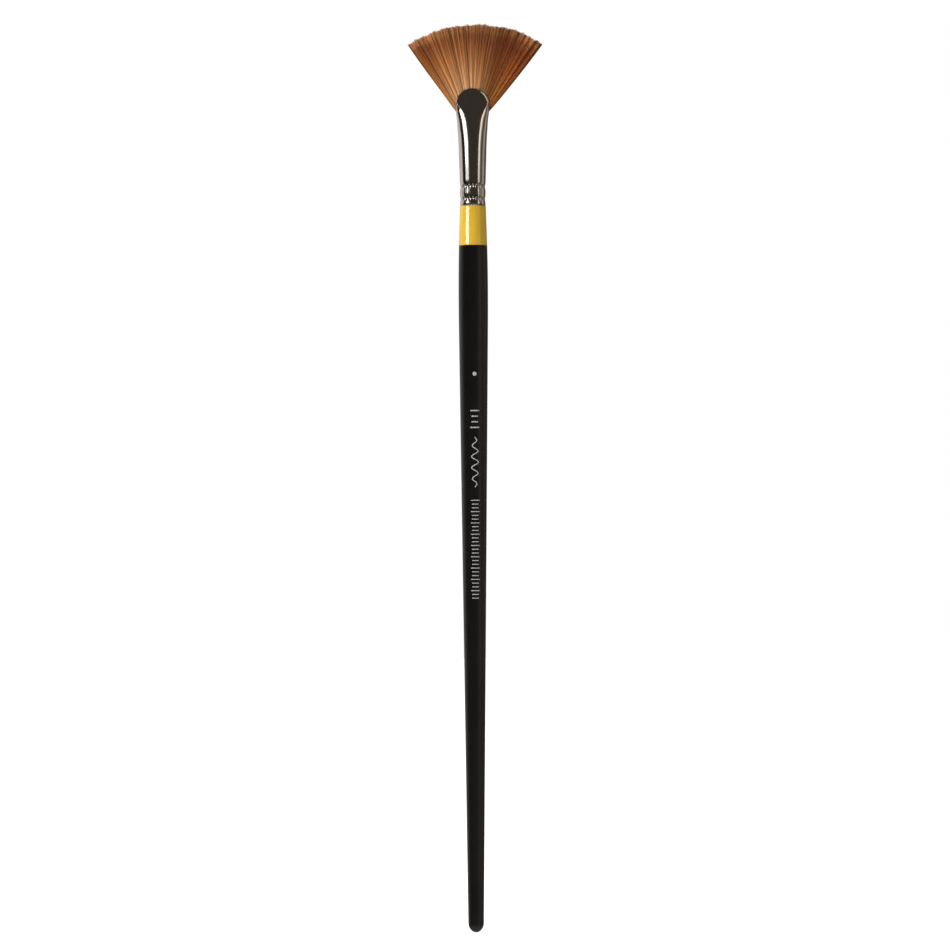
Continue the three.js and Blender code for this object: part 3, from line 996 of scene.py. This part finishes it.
def build_thread(material):
    """Two plies of thread wound round the roots."""
    half_width = highest("binding_thread", 0) - THREAD_RADIUS
    half_depth = highest("binding_thread", 1) - THREAD_RADIUS
    low = lowest("binding_thread") + THREAD_RADIUS
    high = highest("binding_thread") - THREAD_RADIUS
    points_each = THREAD_WINDS * STEPS_PER_WIND + 1
    wind = np.linspace(0, THREAD_WINDS * 2 * math.pi, points_each)
    height = np.linspace(low, high, points_each)
    plies = []
    for phase in (0.0, math.pi):
        twist = wind * PLY_TWISTS_PER_WIND + phase
        reach = PLY_REACH * np.cos(twist)
        x = (half_width + reach) * np.cos(wind)
        y = (half_depth + reach) * np.sin(wind)
        plies.append(np.stack([x, y, height + PLY_REACH * np.sin(twist)], axis=1))
    piece = quad_mesh("twisted_thread", *ply_tubes(np.array(plies)))
    finish_piece(piece, "handle", "thread", material, "binding_thread")


# ---- Studio ----

def maths(tree, operation, first, second):
    """Works out a value from two others."""
    return add_node(tree, "ShaderNodeMath", {0: first, 1: second}, operation=operation).outputs[0]


def direction_ramp(tree, degrees_and_colours):
    """World colour by compass direction, and the direction's rise: -1 is down, 1 is up.

    0 degrees is the camera's side, and negative is to its left.
    """
    place = add_node(tree, "ShaderNodeTexCoord").outputs["Generated"]
    split = add_node(tree, "ShaderNodeSeparateXYZ", {"Vector": place}).outputs
    turn = maths(tree, "ARCTAN2", split["X"], maths(tree, "MULTIPLY", split["Y"], -1.0))
    limits = {"Value": turn, "From Min": -math.pi, "From Max": math.pi}
    share = add_node(tree, "ShaderNodeMapRange", limits).outputs[0]
    stops = [((degrees + 180) / 360, colour) for degrees, colour in degrees_and_colours]
    return ramp(tree, share, stops), split["Z"]


def build_world():
    """White to the camera.

    Reflections see a pale wall behind on the left, a bright strip in front on the right, a dimmer
    one behind it, and dark flags between them. Overhead is a pale ceiling, and below the horizon
    a dark band above a pale table top.
    """
    world = bpy.data.worlds.new("studio")
    scene.world = world
    world.use_nodes = True
    tree = world.node_tree
    walls, rise = direction_ramp(tree, [
        (-180, (0.16, 0.15, 0.14)),
        (-158, (0.30, 0.28, 0.28)),
        (-145, (0.72, 0.68, 0.67)),
        (-104, (0.66, 0.61, 0.62)),
        (-96, (0.02, 0.015, 0.015)),
        (-74, (0.008, 0.006, 0.006)),
        (-36, (0.04, 0.033, 0.028)),
        (34, (0.045, 0.038, 0.030)),
        (44, (0.05, 0.042, 0.032)),
        (47, (0.86, 0.80, 0.69)),
        (58, (0.80, 0.74, 0.62)),
        (63, (0.38, 0.33, 0.26)),
        (69, (0.13, 0.095, 0.065)),
        (90, (0.10, 0.075, 0.055)),
        (97, (0.40, 0.345, 0.31)),
        (113, (0.42, 0.36, 0.32)),
        (120, (0.10, 0.08, 0.06)),
        (150, (0.12, 0.10, 0.08)),
        (180, (0.16, 0.15, 0.14)),
    ])
    height = add_node(tree, "ShaderNodeMapRange", {"Value": rise, "From Min": -1.0}).outputs[0]
    is_low = ramp(tree, height, [(0.375, (1.0, 1.0, 1.0)), (0.40, (0.0, 0.0, 0.0))])
    low = ramp(tree, height, [(0.27, (0.46, 0.44, 0.41)), (0.31, (0.012, 0.011, 0.010))])
    is_high = ramp(tree, height, [(0.965, (0.0, 0.0, 0.0)), (0.99, (1.0, 1.0, 1.0))])
    seen = mixed(tree, is_low, walls, low)
    seen = mixed(tree, is_high, seen, (0.95, 0.93, 0.90))
    camera_ray = add_node(tree, "ShaderNodeLightPath").outputs["Is Camera Ray"]
    shown = mixed(tree, camera_ray, seen, (1.0, 1.0, 1.0))
    background = tree.nodes["Background"]
    tree.links.new(shown, background.inputs["Color"])


def area_light(name, degrees, distance, bottom, size, radiance):
    """A soft box that stands round the brush and faces its axis. Metres and degrees."""
    width, height = size
    data = bpy.data.lights.new(name, "AREA")
    data.shape = "RECTANGLE"
    data.size = width
    data.size_y = height
    data.energy = radiance * math.pi * width * height
    light = bpy.data.objects.new(name, data)
    turn = math.radians(degrees)
    light.location = (distance * math.sin(turn), -distance * math.cos(turn), bottom + height / 2)
    light.rotation_euler = (math.pi / 2, 0.0, turn)
    light.visible_camera = False
    scene.collection.objects.link(light)
    return light


def link_light(light, pieces, state):
    """Keeps a light off some pieces (state EXCLUDE), or off all but those pieces (INCLUDE)."""
    receivers = bpy.data.collections.new(light.name + "_receivers")
    for piece in pieces:
        receivers.objects.link(piece)
    for entry in receivers.collection_objects:
        entry.light_linking.link_state = state
    light.light_linking.receiver_collection = receivers


def build_lights(black_coat, ferrule):
    """A soft box on the left, two dim cards that only the bright metal shows, and a fill behind."""
    near = {"distance": 1.0, "bottom": 0.31}
    key = area_light("key_softbox", degrees=-49.8, size=(0.46, 0.46), radiance=15.5, **near)
    link_light(key, [black_coat, ferrule], "EXCLUDE")
    left = area_light("left_card", degrees=-48.2, size=(0.54, 0.46), radiance=2.4, **near)
    link_light(left, [ferrule], "INCLUDE")
    right = area_light("right_card", degrees=52.0, size=(0.18, 0.46), radiance=0.5, **near)
    link_light(right, [ferrule], "INCLUDE")
    fill = area_light("back_fill", degrees=165.0, distance=1.2, bottom=0.5, size=(0.9, 0.7), radiance=1.0)
    fill.visible_glossy = False


def build_floor():
    """A plain white floor that glows evenly, more to the camera than to the brush."""
    half = FLOOR_HALF_WIDTH
    corners = [(-half, -half, 0), (half, -half, 0), (half, half, 0), (-half, half, 0)]
    mesh = bpy.data.meshes.new("floor")
    mesh.from_pydata(corners, [], [(0, 1, 2, 3)])
    floor = bpy.data.objects.new("floor", mesh)
    floor.location.z = -FLOOR_DROP
    floor.visible_glossy = False
    scene.collection.objects.link(floor)
    material, tree, shader = new_material("pale_floor", 0.9)
    shader.inputs["Base Color"].default_value = (0.85, 0.85, 0.85, 1.0)
    shader.inputs["Emission Color"].default_value = (1.0, 1.0, 1.0, 1.0)
    camera_ray = add_node(tree, "ShaderNodeLightPath").outputs["Is Camera Ray"]
    feed(tree, shader.inputs["Emission Strength"], remap(tree, camera_ray, 0.46, 0.95))
    mesh.materials.append(material)


def build_camera():
    """A long lens, level with the middle of the brush and turned very slightly."""
    data = bpy.data.cameras.new("camera")
    data.sensor_width = 36.0
    data.lens = data.sensor_width * CAMERA_DISTANCE / VIEW_WIDTH
    data.clip_end = 10.0
    camera = bpy.data.objects.new("camera", data)
    camera.location = (CAMERA_ACROSS, -CAMERA_DISTANCE, CAMERA_HEIGHT)
    camera.rotation_euler = (math.pi / 2, CAMERA_ROLL, 0.0)
    scene.collection.objects.link(camera)
    scene.camera = camera


def dress_hidden_parts():
    """Materials of the CAD parts inside the ferrule and under the lacquer."""
    finishes = {
        "handle_core": wood_material(),
        "tenon_adhesive": cured_material("cured_glue", (0.50, 0.45, 0.30), (0.68, 0.64, 0.48), 0.4),
        "epoxy_plug": cured_material("cured_epoxy", (0.36, 0.19, 0.05), (0.52, 0.31, 0.10), 0.2),
    }
    for name, material in finishes.items():
        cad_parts[name].material_slots[0].material = material


build_camera()
black_coat = build_black_coat(black_lacquer_material())
build_yellow_coat(yellow_lacquer_material())
build_print(ink_material())
ferrule_shell = build_ferrule(nickel_material())
filament = filament_material()
build_locks(filament)
build_roots(filament)
build_thread(thread_material())
dress_hidden_parts()
build_world()
build_lights(black_coat, ferrule_shell)
build_floor()
scene.view_settings.view_transform = "Standard"
